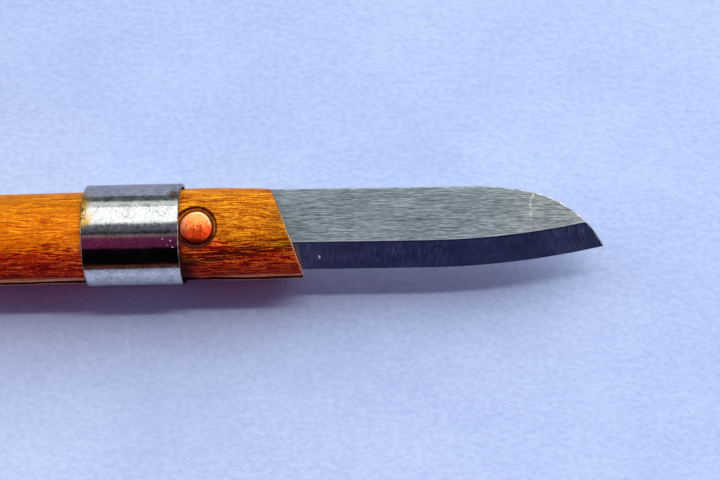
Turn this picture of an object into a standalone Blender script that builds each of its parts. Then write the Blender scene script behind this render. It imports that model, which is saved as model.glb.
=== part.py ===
"""Folding whittling knife with a sliding ring.

A round wooden handle is sawn into a fork at its front. A flat blade turns on a
copper rivet between the two cheeks of the fork and folds down into the sawn slot.
A thin steel ring slides along the handle. Over the rear of the fork it covers the
heel of the tang, so that the blade can't turn.

The knife lies on its side, as it would on a table: +X runs along it to the tip of
the open blade, +Y is the side of the blade's back, and +Z is up, along the rivet.
The origin is on the table, under the middle of the open knife.
"""

import math

import bmesh
import bpy
from mathutils import Matrix

MM = 0.001

# Driving dimensions, in millimetres, from the rivet's centre -------------------

# Handle: a turned dowel
HANDLE_R = 9.2
BUTT_X = -112.0
BUTT_ROUND = 2.2
SLANT_MID_X = 17.15  # the slanted front end, on the handle's axis
SLANT_RUN = 6.48  # how much further forward the slot side reaches than the back
SLOT_FLAT_Y = -8.85  # the planed strip along the mouth of the slot
SLOT_W = 2.9
SLOT_END_X = -83.5
SLOT_FLOOR_Y = 7.75  # the wood left over the slot closes it at the back
WEB_FRONT_X = -5.8  # in front of this the slot goes right through
NOTCH_X, NOTCH_R, NOTCH_DEPTH = -51.5, 14.0, 2.8  # finger notch for opening
COUNTERBORE_R = 4.05
COUNTERBORE_Z = 7.15
BORE_R = 2.55

# Blade: ground from flat stock
BLADE_T = 2.0
EDGE_T = 0.12
SPINE_Y = 8.94
EDGE_Y = -7.24
NOSE_X, NOSE_R = 54.65, 53.6  # the back starts to drop on this arc
POINT_X, POINT_R = 65.6, 21.3  # and goes on to the tip on this one
BELLY_X, BELLY_R = 44.65, 167.6  # the edge rises to the tip on this arc
BEVEL_W = 5.37
BEVEL_HEEL_X = 13.5
HEEL_X = -5.62  # the shoulder that meets the web when the knife is open
TANG_R = 7.28
BLADE_LEAN = 0.75  # degrees that the open blade leans towards its edge

# Rivet, with its burr, its bush and the two washers beside the tang
RIVET_R = 1.6
HEAD_R = 3.2
HEAD_Z0, HEAD_Z1 = 7.25, 8.78
BURR_R, BURR_T = 3.5, 0.8
TAIL_R, TAIL_Z = 2.4, -8.9
BUSH_R, BUSH_BORE_R, BUSH_HALF = 2.4, 1.75, 7.05
WASHER_R, WASHER_BORE_R, WASHER_T = 4.5, 2.55, 0.25

# Ring: a short length of thin tube
RING_R, RING_BORE_R = 10.25, 9.65  # to the middle of a facet
RING_X0, RING_X1 = -22.45, -3.45
RING_EDGE = 0.2
RING_SIDES = 16  # wide enough facets to lie on without rolling

# Shapes that follow from the dimensions ----------------------------------------


POINT_TURN = math.asin((POINT_X - NOSE_X) / NOSE_R)  # how far the back has turned where the arcs meet
POINT_CX = NOSE_X + (NOSE_R - POINT_R) * math.sin(POINT_TURN)
POINT_CY = SPINE_Y - NOSE_R + (NOSE_R - POINT_R) * math.cos(POINT_TURN)


def spine_y(x):
    """The blade's back, straight and then on the two nose arcs."""
    if x <= NOSE_X:
        return SPINE_Y
    if x <= POINT_X:
        return SPINE_Y - NOSE_R + math.sqrt(NOSE_R**2 - (x - NOSE_X) ** 2)
    return POINT_CY + math.sqrt(POINT_R**2 - (x - POINT_CX) ** 2)


def edge_y(x):
    """The cutting edge, straight and then on the belly arc."""
    if x <= BELLY_X:
        return EDGE_Y
    return EDGE_Y + BELLY_R - math.sqrt(BELLY_R**2 - (x - BELLY_X) ** 2)


def tip_x():
    """Where the back meets the edge."""
    low, high = POINT_X, POINT_CX + POINT_R
    for _ in range(60):
        mid = (low + high) / 2
        low, high = (mid, high) if spine_y(mid) > edge_y(mid) else (low, mid)
    return low


TIP_X = tip_x()
LEAN = math.radians(-BLADE_LEAN)
REACH_X = TIP_X * math.cos(LEAN) - edge_y(TIP_X) * math.sin(LEAN)  # the leaning tip
ROOT = (-(REACH_X + BUTT_X) / 2, 0.0, RING_R)  # the rivet's centre, in the knife's frame


def arc(cx, cy, r, a0, a1, steps):
    return [
        (
            cx + r * math.cos(math.radians(a0 + (a1 - a0) * i / steps)),
            cy + r * math.sin(math.radians(a0 + (a1 - a0) * i / steps)),
        )
        for i in range(steps + 1)
    ]


# Building helpers --------------------------------------------------------------

for old in list(bpy.data.objects):
    bpy.data.objects.remove(old, do_unlink=True)

parts = bpy.data.collections.new("whittling_knife")
cutters = bpy.data.collections.new("cutters")
for group in (parts, cutters):
    bpy.context.scene.collection.children.link(group)

root = bpy.data.objects.new("knife_root", None)
root.location = [c * MM for c in ROOT]
root.empty_display_size = 0.02
parts.objects.link(root)


def material(name, colour, roughness, metallic):
    made = bpy.data.materials.new(name)
    made.use_nodes = True
    shader = made.node_tree.nodes["Principled BSDF"]
    shader.inputs["Base Color"].default_value = (*colour, 1.0)
    shader.inputs["Roughness"].default_value = roughness
    shader.inputs["Metallic"].default_value = metallic
    return made


def add(name, mesh, group, look=None):
    """A new object under the root, so that its own frame has the rivet's centre as origin."""
    obj = bpy.data.objects.new(name, mesh)
    group.objects.link(obj)
    obj.parent = root
    if look:
        mesh.materials.append(look)
    if group is cutters:
        obj.hide_render = True
        obj.display_type = "WIRE"
    return obj


def outline(name, points, z0, z1, group, look=None):
    """A flat outline, filled and extruded from z0 to z1."""
    curve = bpy.data.curves.new(name + "_outline", "CURVE")
    curve.dimensions = "2D"
    curve.fill_mode = "BOTH"
    curve.extrude = (z1 - z0) / 2 * MM
    spline = curve.splines.new("POLY")
    spline.points.add(len(points) - 1)
    for point, (x, y) in zip(spline.points, points, strict=True):
        point.co = (x * MM, y * MM, 0.0, 1.0)
    spline.use_cyclic_u = True
    drawn = bpy.data.objects.new(name + "_outline", curve)
    bpy.context.scene.collection.objects.link(drawn)
    graph = bpy.context.evaluated_depsgraph_get()
    mesh = bpy.data.meshes.new_from_object(drawn.evaluated_get(graph))
    bpy.data.objects.remove(drawn, do_unlink=True)
    mesh.transform(Matrix.Translation((0.0, 0.0, (z0 + z1) / 2 * MM)))
    bm = bmesh.new()
    bm.from_mesh(mesh)
    bmesh.ops.remove_doubles(bm, verts=bm.verts, dist=1e-6)
    bmesh.ops.recalc_face_normals(bm, faces=bm.faces)
    bm.to_mesh(mesh)
    bm.free()
    mesh.name = name
    return add(name, mesh, group, look)


def turned(name, profile, sides, group, look=None, closed=False):
    """A profile of (radius, height) turned about Z. An open one runs from the axis, down the outside, to the axis."""
    mesh = bpy.data.meshes.new(name)
    count = len(profile)
    edges = [(i, i + 1) for i in range(count - 1)]
    if closed:
        edges.append((count - 1, 0))
    mesh.from_pydata([(r * MM, 0.0, z * MM) for r, z in profile], edges, [])
    obj = add(name, mesh, group, look)
    screw = obj.modifiers.new("turn", "SCREW")
    screw.axis = "Z"
    screw.angle = math.tau
    screw.steps = screw.render_steps = sides
    screw.use_merge_vertices = True
    screw.merge_threshold = 1e-6
    screw.use_smooth_shade = True
    return obj


def drum(name, radius, z0, z1, x=0.0, y=0.0, sides=48):
    """A plain round cutter along Z."""
    bm = bmesh.new()
    bmesh.ops.create_cone(
        bm,
        cap_ends=True,
        segments=sides,
        radius1=radius * MM,
        radius2=radius * MM,
        depth=(z1 - z0) * MM,
        matrix=Matrix.Translation((x * MM, y * MM, (z0 + z1) / 2 * MM)),
    )
    mesh = bpy.data.meshes.new(name)
    bm.to_mesh(mesh)
    bm.free()
    return add(name, mesh, cutters)


def cut(obj, *tools):
    for tool in tools:
        step = obj.modifiers.new(tool.name, "BOOLEAN")
        step.operation = "DIFFERENCE"
        step.solver = "EXACT"
        step.object = tool


# Handle ------------------------------------------------------------------------

wood = material("oiled_wood", (0.62, 0.25, 0.05), 0.45, 0.0)

front = SLANT_MID_X + SLANT_RUN
butt_arc = arc(HANDLE_R - BUTT_ROUND, BUTT_X + BUTT_ROUND, BUTT_ROUND, 0, -90, 5)
handle = turned(
    "handle",
    [(0.0, front), (HANDLE_R, front), *butt_arc, (0.0, BUTT_X)],
    64,
    parts,
    wood,
)
handle.rotation_euler = (0.0, math.pi / 2, 0.0)  # the turning axis lies along X

half_slot = SLOT_W / 2
slot = outline(
    "slot_cut",
    [
        (SLOT_END_X, -12.0),
        (30.0, -12.0),
        (30.0, 12.0),
        (WEB_FRONT_X, 12.0),
        (WEB_FRONT_X, SLOT_FLOOR_Y),
        (SLOT_END_X + 3.0, SLOT_FLOOR_Y),
        (SLOT_END_X, SLOT_FLOOR_Y - 5.0),
    ],
    -half_slot,
    half_slot,
    cutters,
)
slope = SLANT_RUN / (2 * HANDLE_R)
slant = outline(
    "slant_cut",
    [
        (SLANT_MID_X - 12.0 * slope, 12.0),
        (SLANT_MID_X + 12.0 * slope, -12.0),
        (40.0, -12.0),
        (40.0, 12.0),
    ],
    -12.0,
    12.0,
    cutters,
)
strip = outline(
    "strip_cut",
    [(-120.0, SLOT_FLAT_Y), (40.0, SLOT_FLAT_Y), (40.0, -12.0), (-120.0, -12.0)],
    -12.0,
    12.0,
    cutters,
)
notch = drum(
    "notch_cut",
    NOTCH_R,
    -12.0,
    12.0,
    x=NOTCH_X,
    y=SLOT_FLAT_Y - NOTCH_R + NOTCH_DEPTH,
    sides=64,
)
near_counterbore = drum("near_counterbore_cut", COUNTERBORE_R, COUNTERBORE_Z, 12.0)
far_counterbore = drum("far_counterbore_cut", COUNTERBORE_R, -12.0, -COUNTERBORE_Z)
bore = drum("rivet_bore_cut", BORE_R, -9.5, 9.5)
cut(handle, slot, slant, strip, notch, near_counterbore, far_counterbore, bore)

# Blade -------------------------------------------------------------------------

blade_steel = material("satin_steel", (0.55, 0.57, 0.57), 0.32, 1.0)

foot_angle = -math.degrees(math.acos(-math.sqrt(1 - (EDGE_Y / TANG_R) ** 2)))
heel_angle = math.degrees(math.acos(HEEL_X / TANG_R)) - 360.0
nose_steps, belly_steps = 26, 16
nose = [
    NOSE_X + (TIP_X - NOSE_X) * math.sin(math.pi / 2 * i / nose_steps)
    for i in range(nose_steps + 1)
]
belly = [
    TIP_X + (BELLY_X - TIP_X) * i / belly_steps for i in range(1, belly_steps + 1)
]
blade = outline(
    "blade",
    [
        (HEEL_X, SPINE_Y),
        *[(x, spine_y(x)) for x in nose],
        *[(x, edge_y(x)) for x in belly],
        *arc(0.0, 0.0, TANG_R, foot_angle, heel_angle, 24),
    ],
    -BLADE_T / 2,
    BLADE_T / 2,
    parts,
    blade_steel,
)


def bevel_wedge(name, side):
    """What the grinding wheel takes off one side, swept along the edge and a little past the tip."""
    rise = (BLADE_T - EDGE_T) / 2 / BEVEL_W
    section = [  # distance in from the edge, and height
        (-1.5, EDGE_T / 2 - 1.5 * rise),
        (BEVEL_W, BLADE_T / 2),
        (BEVEL_W, BLADE_T / 2 + 1.0),
        (-1.5, BLADE_T / 2 + 1.0),
    ]
    stations = [BEVEL_HEEL_X] + [
        BELLY_X + (TIP_X + 4.0 - BELLY_X) * i / 18 for i in range(19)
    ]
    bm = bmesh.new()
    rings = []
    for x in stations:
        turn = math.asin(max(0.0, x - BELLY_X) / BELLY_R)
        rings.append(
            [
                bm.verts.new(
                    (
                        (x - n * math.sin(turn)) * MM,
                        (edge_y(x) + n * math.cos(turn)) * MM,
                        side * z * MM,
                    )
                )
                for n, z in section
            ]
        )
    for one, two in zip(rings, rings[1:]):
        for i in range(len(section)):
            j = (i + 1) % len(section)
            bm.faces.new((one[i], one[j], two[j], two[i]))
    bm.faces.new(rings[0])
    bm.faces.new(rings[-1])
    bmesh.ops.recalc_face_normals(bm, faces=bm.faces)
    mesh = bpy.data.meshes.new(name)
    bm.to_mesh(mesh)
    bm.free()
    return add(name, mesh, cutters)


tang_hole = drum("tang_hole_cut", BORE_R, -3.0, 3.0)
near_bevel = bevel_wedge("near_bevel_cut", 1.0)
far_bevel = bevel_wedge("far_bevel_cut", -1.0)
cut(blade, tang_hole, near_bevel, far_bevel)
for leaning in (blade, tang_hole, near_bevel, far_bevel):
    leaning.rotation_euler = (0.0, 0.0, LEAN)

# Rivet, burr, bush and washers -------------------------------------------------

copper = material("peened_copper", (0.82, 0.36, 0.2), 0.35, 1.0)
burr_copper = material("burr_copper", (0.78, 0.36, 0.21), 0.4, 1.0)
brass = material("bush_brass", (0.7, 0.52, 0.2), 0.35, 1.0)
bronze = material("washer_bronze", (0.6, 0.38, 0.16), 0.4, 1.0)

turned(
    "pivot_rivet",
    [
        (0.0, HEAD_Z1),
        (1.5, HEAD_Z1 - 0.06),
        (2.5, HEAD_Z1 - 0.3),
        (HEAD_R - 0.1, HEAD_Z1 - 0.7),
        (HEAD_R, HEAD_Z1 - 1.1),
        (HEAD_R - 0.15, HEAD_Z0),
        (RIVET_R, HEAD_Z0),
        (RIVET_R, -HEAD_Z0 - BURR_T - 0.1),
        (TAIL_R, -HEAD_Z0 - BURR_T - 0.1),
        (TAIL_R - 0.15, TAIL_Z + 0.35),
        (TAIL_R - 0.9, TAIL_Z + 0.06),
        (0.0, TAIL_Z),
    ],
    32,
    parts,
    copper,
)
turned(
    "rivet_burr",
    [
        (1.75, -HEAD_Z0),
        (BURR_R, -HEAD_Z0),
        (BURR_R, -HEAD_Z0 - BURR_T + 0.25),
        (BURR_R - 0.3, -HEAD_Z0 - BURR_T),
        (1.75, -HEAD_Z0 - BURR_T),
    ],
    32,
    parts,
    burr_copper,
    closed=True,
)
turned(
    "pivot_bush",
    [
        (BUSH_BORE_R, BUSH_HALF),
        (BUSH_R, BUSH_HALF),
        (BUSH_R, -BUSH_HALF),
        (BUSH_BORE_R, -BUSH_HALF),
    ],
    32,
    parts,
    brass,
    closed=True,
)
washer_gap = (SLOT_W / 2 - BLADE_T / 2 - WASHER_T) / 2
for name, side in (("near_tang_washer", 1.0), ("far_tang_washer", -1.0)):
    middle = side * (BLADE_T / 2 + washer_gap + WASHER_T / 2)
    turned(
        name,
        [
            (WASHER_BORE_R, middle + WASHER_T / 2),
            (WASHER_R, middle + WASHER_T / 2),
            (WASHER_R, middle - WASHER_T / 2),
            (WASHER_BORE_R, middle - WASHER_T / 2),
        ],
        32,
        parts,
        bronze,
        closed=True,
    )

# Ring --------------------------------------------------------------------------

ring_steel = material("ring_steel", (0.6, 0.6, 0.6), 0.2, 1.0)
to_corner = 1 / math.cos(math.pi / RING_SIDES)
outer, inner = RING_R * to_corner, RING_BORE_R * to_corner
length = RING_X1 - RING_X0
ring = turned(
    "lock_ring",
    [
        (inner, length / 2),
        (outer - RING_EDGE, length / 2),
        (outer, length / 2 - RING_EDGE),
        (outer, -length / 2 + RING_EDGE),
        (outer - RING_EDGE, -length / 2),
        (inner, -length / 2),
    ],
    RING_SIDES,
    parts,
    ring_steel,
    closed=True,
)
ring.location = ((RING_X0 + RING_X1) / 2 * MM, 0.0, 0.0)
# The tube lies along X, with the middle of a facet underneath.
ring.matrix_basis = (
    Matrix.Translation(ring.location)
    @ Matrix.Rotation(math.pi / RING_SIDES, 4, "X")
    @ Matrix.Rotation(math.pi / 2, 4, "Y")
)

for obj in parts.objects:
    if obj.type == "MESH":
        obj.data.shade_smooth()
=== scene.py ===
"""Looks of the folding whittling knife: the finish of every piece, the stage, the light and the camera.

Shapes are given in millimetres from the rivet's centre: +X to the tip of the open blade,
+Y to the blade's back, +Z up along the rivet.
"""

import math

import bpy
import numpy as np
from mathutils import Matrix, Vector
from mathutils.geometry import delaunay_2d_cdt


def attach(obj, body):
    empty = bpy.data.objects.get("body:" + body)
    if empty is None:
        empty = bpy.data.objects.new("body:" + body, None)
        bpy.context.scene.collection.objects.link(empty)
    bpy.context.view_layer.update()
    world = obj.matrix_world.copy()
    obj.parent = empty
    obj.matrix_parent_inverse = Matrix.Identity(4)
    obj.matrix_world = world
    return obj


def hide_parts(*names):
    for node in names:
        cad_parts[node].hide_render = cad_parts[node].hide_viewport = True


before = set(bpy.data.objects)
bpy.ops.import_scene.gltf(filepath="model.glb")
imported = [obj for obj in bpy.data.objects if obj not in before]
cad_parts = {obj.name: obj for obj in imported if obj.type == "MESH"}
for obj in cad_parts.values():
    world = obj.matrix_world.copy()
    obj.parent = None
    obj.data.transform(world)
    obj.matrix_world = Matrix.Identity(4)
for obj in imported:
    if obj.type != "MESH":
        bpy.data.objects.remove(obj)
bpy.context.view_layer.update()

# Dimensions, the same as the construction's -------------------------------------

HANDLE_R = 9.2
BUTT_X = -112.0
BUTT_ROUND = 2.2
SLANT_MID_X, SLANT_RUN = 17.15, 6.48
SLOT_FLAT_Y = -8.85
SLOT_W = 2.9
SLOT_END_X = -83.5
SLOT_FLOOR_Y = 7.75
WEB_FRONT_X = -5.8
NOTCH_X, NOTCH_R, NOTCH_DEPTH = -51.5, 14.0, 2.8
COUNTERBORE_R, COUNTERBORE_Z = 4.10, 7.15
COUNTERBORE_DX, HEAD_DX, HEAD_DY = -0.25, -0.20, 0.12
LEDGE_Z, POCKET_R, BURR_POCKET_R = 7.95, 3.36, 3.7
BORE_R = 2.55

BLADE_T, EDGE_T = 2.0, 0.12
SPINE_Y, EDGE_Y = 8.94, -7.24
NOSE_X, NOSE_R = 54.65, 53.6
POINT_X, POINT_R = 65.6, 21.3
BELLY_X, BELLY_R = 44.65, 167.6
BEVEL_W, BEVEL_HEEL_X = 5.37, 13.5
HEEL_X, TANG_R = -5.62, 7.28
LEAN = math.radians(-0.75)

RIVET_R, HEAD_R = 1.6, 3.3
HEAD_Z0, HEAD_Z1 = 7.25, 8.78
BURR_R, BURR_T = 3.5, 0.8
TAIL_R, TAIL_Z = 2.4, -8.9

RING_R, RING_BORE_R = 10.25, 9.75
RING_SHIFT, RING_SKEW = 0.28, math.radians(-0.35)
RING_X0, RING_X1 = -22.45, -3.45


POINT_TURN = math.asin((POINT_X - NOSE_X) / NOSE_R)
POINT_CX = NOSE_X + (NOSE_R - POINT_R) * math.sin(POINT_TURN)
POINT_CY = SPINE_Y - NOSE_R + (NOSE_R - POINT_R) * math.cos(POINT_TURN)


def spine_y(x):
    if x <= NOSE_X:
        return SPINE_Y
    if x <= POINT_X:
        return SPINE_Y - NOSE_R + math.sqrt(NOSE_R**2 - (x - NOSE_X) ** 2)
    return POINT_CY + math.sqrt(POINT_R**2 - (x - POINT_CX) ** 2)


def edge_y(x):
    if x <= BELLY_X:
        return EDGE_Y
    return EDGE_Y + BELLY_R - math.sqrt(BELLY_R**2 - (x - BELLY_X) ** 2)


def tip_x():
    low, high = POINT_X, POINT_CX + POINT_R
    for _ in range(60):
        mid = (low + high) / 2
        low, high = (mid, high) if spine_y(mid) > edge_y(mid) else (low, mid)
    return low


TIP_X = tip_x()
REACH_X = TIP_X * math.cos(LEAN) - edge_y(TIP_X) * math.sin(LEAN)
ROOT = np.array([-(REACH_X + BUTT_X) / 2, 0.0, RING_R])


def turned_about_rivet(points, angle):
    """Points turned about the rivet."""
    x, y, z = np.asarray(points, float).T
    return np.column_stack([x * math.cos(angle) - y * math.sin(angle), x * math.sin(angle) + y * math.cos(angle), z])


# Mesh helpers ---------------------------------------------------------------------


def value_noise(x, y, z, seed):
    """Smooth noise between -1 and 1 on a unit lattice."""

    def corner(i, j, k):
        h = (i * 374761393 + j * 668265263 + k * 1440662683 + seed * 144665) & 0xFFFFFFFF
        h = ((h ^ (h >> 13)) * 1274126177) & 0xFFFFFFFF
        return ((h ^ (h >> 16)) & 0xFFFFFF) / 0xFFFFFF * 2.0 - 1.0

    x, y, z = np.broadcast_arrays(x, y, z)
    i, j, k = (np.floor(a).astype(np.int64) for a in (x, y, z))
    u, v, w = (a - np.floor(a) for a in (x, y, z))
    u, v, w = (a * a * (3 - 2 * a) for a in (u, v, w))
    total = 0.0
    for a in (0, 1):
        for b in (0, 1):
            for c in (0, 1):
                weight = (u if a else 1 - u) * (v if b else 1 - v) * (w if c else 1 - w)
                total = total + weight * corner(i + a, j + b, k + c)
    return total


def piece(name, verts, faces, smooth=True, sharp=None):
    """A mesh object from points in millimetres from the rivet's centre."""
    mesh = bpy.data.meshes.new(name)
    placed = (np.asarray(verts, float) + ROOT) * 0.001
    mesh.from_pydata(placed.tolist(), [], [list(map(int, f)) for f in faces])
    mesh.validate()
    if smooth:
        mesh.shade_smooth()
        if sharp is not None:
            mesh.set_sharp_from_angle(angle=math.radians(sharp))
    obj = bpy.data.objects.new(name, mesh)
    bpy.context.scene.collection.objects.link(obj)
    return obj


def surface_net(field, xs, ys, zs):
    """The zero surface of a field on a rectilinear grid, with its points moved onto the field's zero."""
    grid = np.meshgrid(xs, ys, zs, indexing="ij")
    value = field(*grid)
    inside = value < 0
    shape = tuple(n - 1 for n in value.shape)
    count = np.zeros(shape, int)
    for a in (0, 1):
        for b in (0, 1):
            for c in (0, 1):
                count += inside[a : a + shape[0], b : b + shape[1], c : c + shape[2]]
    active = (count > 0) & (count < 8)
    index = np.full(shape, -1)
    index[active] = np.arange(active.sum())
    total = np.zeros(shape + (3,))
    hits = np.zeros(shape)
    axes = (xs, ys, zs)
    for axis in range(3):
        low = [slice(None)] * 3
        high = [slice(None)] * 3
        low[axis], high[axis] = slice(None, -1), slice(1, None)
        v0, v1 = value[tuple(low)], value[tuple(high)]
        cross = (v0 < 0) != (v1 < 0)
        t = np.where(cross, v0 / np.where(cross, v0 - v1, 1.0), 0.0)
        point = np.stack([g[tuple(low)] for g in grid], -1)
        step = np.diff(axes[axis])
        form = [1, 1, 1]
        form[axis] = len(step)
        point[..., axis] += t * step.reshape(form)
        others = [a for a in range(3) if a != axis]
        for a in (0, 1):
            for b in (0, 1):
                take = [slice(None)] * 3
                take[others[0]] = slice(a, a + shape[others[0]])
                take[others[1]] = slice(b, b + shape[others[1]])
                take = tuple(take)
                total += np.where(cross[take][..., None], point[take], 0.0)
                hits += cross[take]
    verts = total[active] / hits[active][:, None]
    faces = []
    for axis in range(3):
        o1, o2 = [(1, 2), (2, 0), (0, 1)][axis]
        low = [slice(None)] * 3
        high = [slice(None)] * 3
        low[axis], high[axis] = slice(None, -1), slice(1, None)
        s0, s1 = inside[tuple(low)], inside[tuple(high)]
        where = np.argwhere(s0 != s1)
        ok = (
            (where[:, o1] > 0)
            & (where[:, o1] < shape[o1])
            & (where[:, o2] > 0)
            & (where[:, o2] < shape[o2])
        )
        where = where[ok]
        ring = []
        for d1, d2 in ((-1, -1), (0, -1), (0, 0), (-1, 0)):
            cell = where.copy()
            cell[:, o1] += d1
            cell[:, o2] += d2
            ring.append(index[cell[:, 0], cell[:, 1], cell[:, 2]])
        quads = np.stack(ring, 1)
        outward = s0[where[:, 0], where[:, 1], where[:, 2]]
        quads[~outward] = quads[~outward][:, ::-1]
        faces.append(quads)
    faces = np.concatenate(faces)
    start = verts.copy()
    reach = 0.6 * max(np.diff(ys).max(), np.diff(zs).max())
    h = 1e-3
    for _ in range(8):
        x, y, z = verts.T
        f = field(x, y, z)
        g = np.stack(
            [
                field(x + h, y, z) - field(x - h, y, z),
                field(x, y + h, z) - field(x, y - h, z),
                field(x, y, z + h) - field(x, y, z - h),
            ],
            1,
        ) / (2 * h)
        verts = verts - 0.8 * (f / np.maximum((g * g).sum(1), 0.2))[:, None] * g
        moved = verts - start
        far = np.linalg.norm(moved, axis=1)
        verts = start + moved * np.minimum(1.0, reach / np.maximum(far, 1e-9))[:, None]
    return verts, faces


def lathe(profile, sides, axis="z", shape=None):
    """A closed profile of (radius, height) turned about an axis. Points at radius 0 become one point."""
    verts, rings = [], []
    for r, h in profile:
        if r == 0:
            rings.append([len(verts)])
            verts.append((0.0, 0.0, h))
        else:
            rings.append(list(range(len(verts), len(verts) + sides)))
            for i in range(sides):
                a = math.tau * i / sides
                verts.append((r * math.cos(a), r * math.sin(a), h))
    verts = np.array(verts)
    if shape:
        verts = shape(verts)
    if axis == "x":
        verts = verts[:, [2, 0, 1]]
    faces = []
    open_ends = len(rings[0]) == 1
    pairs = list(zip(rings, rings[1:]))
    if not open_ends:
        pairs.append((rings[-1], rings[0]))
    for one, two in pairs:
        for i in range(sides):
            j = (i + 1) % sides
            if len(one) == 1:
                faces.append((one[0], two[i], two[j]))
            elif len(two) == 1:
                faces.append((one[i], two[0], one[j]))
            else:
                faces.append((one[i], two[i], two[j], one[j]))
    return verts, faces


# Node helpers ---------------------------------------------------------------------


class Look:
    """A material with a Principled shader, and short names for the nodes that feed it."""

    def __init__(self, name, **values):
        self.material = bpy.data.materials.new(name)
        self.material.use_nodes = True
        self.tree = self.material.node_tree
        self.shader = self.tree.nodes["Principled BSDF"]
        for key, value in values.items():
            socket = self.shader.inputs[key.replace("_", " ")]
            socket.default_value = (*value, 1.0) if isinstance(value, tuple) else value

    def node(self, kind, **props):
        made = self.tree.nodes.new("ShaderNode" + kind)
        for key, value in props.items():
            setattr(made, key, value)
        return made

    def put(self, value, socket):
        if isinstance(value, bpy.types.NodeSocket):
            self.tree.links.new(value, socket)
        elif isinstance(value, tuple) and len(value) == 3 and socket.type == "RGBA":
            socket.default_value = (*value, 1.0)
        else:
            socket.default_value = value

    def feed(self, name, value):
        self.put(value, self.shader.inputs[name])

    def place(self, lean=0.0):
        """Millimetres from the rivet's centre, along and across a piece that leans about it."""
        coord = self.node("TexCoord")
        mapping = self.node("Mapping")
        mapping.inputs["Scale"].default_value = (1000.0,) * 3
        mapping.inputs["Rotation"].default_value = (0.0, 0.0, -lean)
        mapping.inputs["Location"].default_value = tuple(-turned_about_rivet([ROOT], -lean)[0])
        self.put(coord.outputs["Object"], mapping.inputs["Vector"])
        return mapping.outputs["Vector"]

    def warped(self, vector, scale, reach):
        """A place shifted by smooth noise, up to the given reach along each axis."""
        made = self.node("TexNoise")
        made.inputs["Scale"].default_value = 1.0
        made.inputs["Detail"].default_value = 2.0
        self.put(self.scaled(vector, scale), made.inputs["Vector"])
        shift = self.node("VectorMath", operation="MULTIPLY_ADD")
        self.put(made.outputs["Color"], shift.inputs[0])
        shift.inputs[1].default_value = reach
        self.put(vector, shift.inputs[2])
        return shift.outputs[0]

    def join(self, a, b, c):
        made = self.node("CombineXYZ")
        for value, socket in zip((a, b, c), made.inputs):
            self.put(value, socket)
        return made.outputs[0]

    def length(self, a, b):
        return self.math("SQRT", self.add(self.mul(a, a), self.mul(b, b)))

    def split(self, vector):
        made = self.node("SeparateXYZ")
        self.put(vector, made.inputs[0])
        return made.outputs[0], made.outputs[1], made.outputs[2]

    def scaled(self, vector, scale, offset=(0.0, 0.0, 0.0)):
        made = self.node("Mapping")
        made.inputs["Scale"].default_value = scale
        made.inputs["Location"].default_value = offset
        self.put(vector, made.inputs["Vector"])
        return made.outputs["Vector"]

    def noise(self, vector, scale, detail=2.0, rough=0.5, warp=0.0, offset=(0.0, 0.0, 0.0)):
        made = self.node("TexNoise")
        made.inputs["Scale"].default_value = 1.0
        made.inputs["Detail"].default_value = detail
        made.inputs["Roughness"].default_value = rough
        made.inputs["Distortion"].default_value = warp
        self.put(self.scaled(vector, scale, offset), made.inputs["Vector"])
        return made.outputs[0]

    def cells(self, vector, scale, offset=(0.0, 0.0, 0.0)):
        made = self.node("TexVoronoi")
        made.inputs["Scale"].default_value = 1.0
        self.put(self.scaled(vector, scale, offset), made.inputs["Vector"])
        return made.outputs["Distance"]

    def math(self, op, a, b=0.0, c=0.0):
        made = self.node("Math", operation=op)
        for value, socket in zip((a, b, c), made.inputs):
            self.put(value, socket)
        return made.outputs[0]

    def add(self, a, b):
        return self.math("ADD", a, b)

    def mul(self, a, b):
        return self.math("MULTIPLY", a, b)

    def step(self, value, low, high, out0=0.0, out1=1.0):
        """A smooth step from out0 at low to out1 at high."""
        made = self.node("MapRange", interpolation_type="SMOOTHSTEP")
        self.put(value, made.inputs["Value"])
        if low <= high:
            ends = (low, high, out0, out1)
        else:
            ends = (high, low, out1, out0)
        for name, end in zip(("From Min", "From Max", "To Min", "To Max"), ends):
            made.inputs[name].default_value = end
        return made.outputs[0]

    def ramp(self, value, stops):
        made = self.node("ValToRGB")
        self.put(value, made.inputs[0])
        bar = made.color_ramp
        while len(bar.elements) < len(stops):
            bar.elements.new(0.5)
        for element, (at, colour) in zip(bar.elements, stops):
            element.position = at
            element.color = (*colour, 1.0)
        return made.outputs[0]

    def mix(self, factor, a, b, blend="MIX"):
        made = self.node("Mix", data_type="RGBA", blend_type=blend)
        self.put(factor, made.inputs[0])
        self.put(a, made.inputs[6])
        self.put(b, made.inputs[7])
        return made.outputs[2]

    def bump(self, height, strength, distance_mm, normal=None):
        made = self.node("Bump")
        made.inputs["Strength"].default_value = strength
        made.inputs["Distance"].default_value = distance_mm * 0.001
        self.put(height, made.inputs["Height"])
        if normal is not None:
            self.put(normal, made.inputs["Normal"])
        return made.outputs[0]


# Finishes ---------------------------------------------------------------------------


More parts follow.
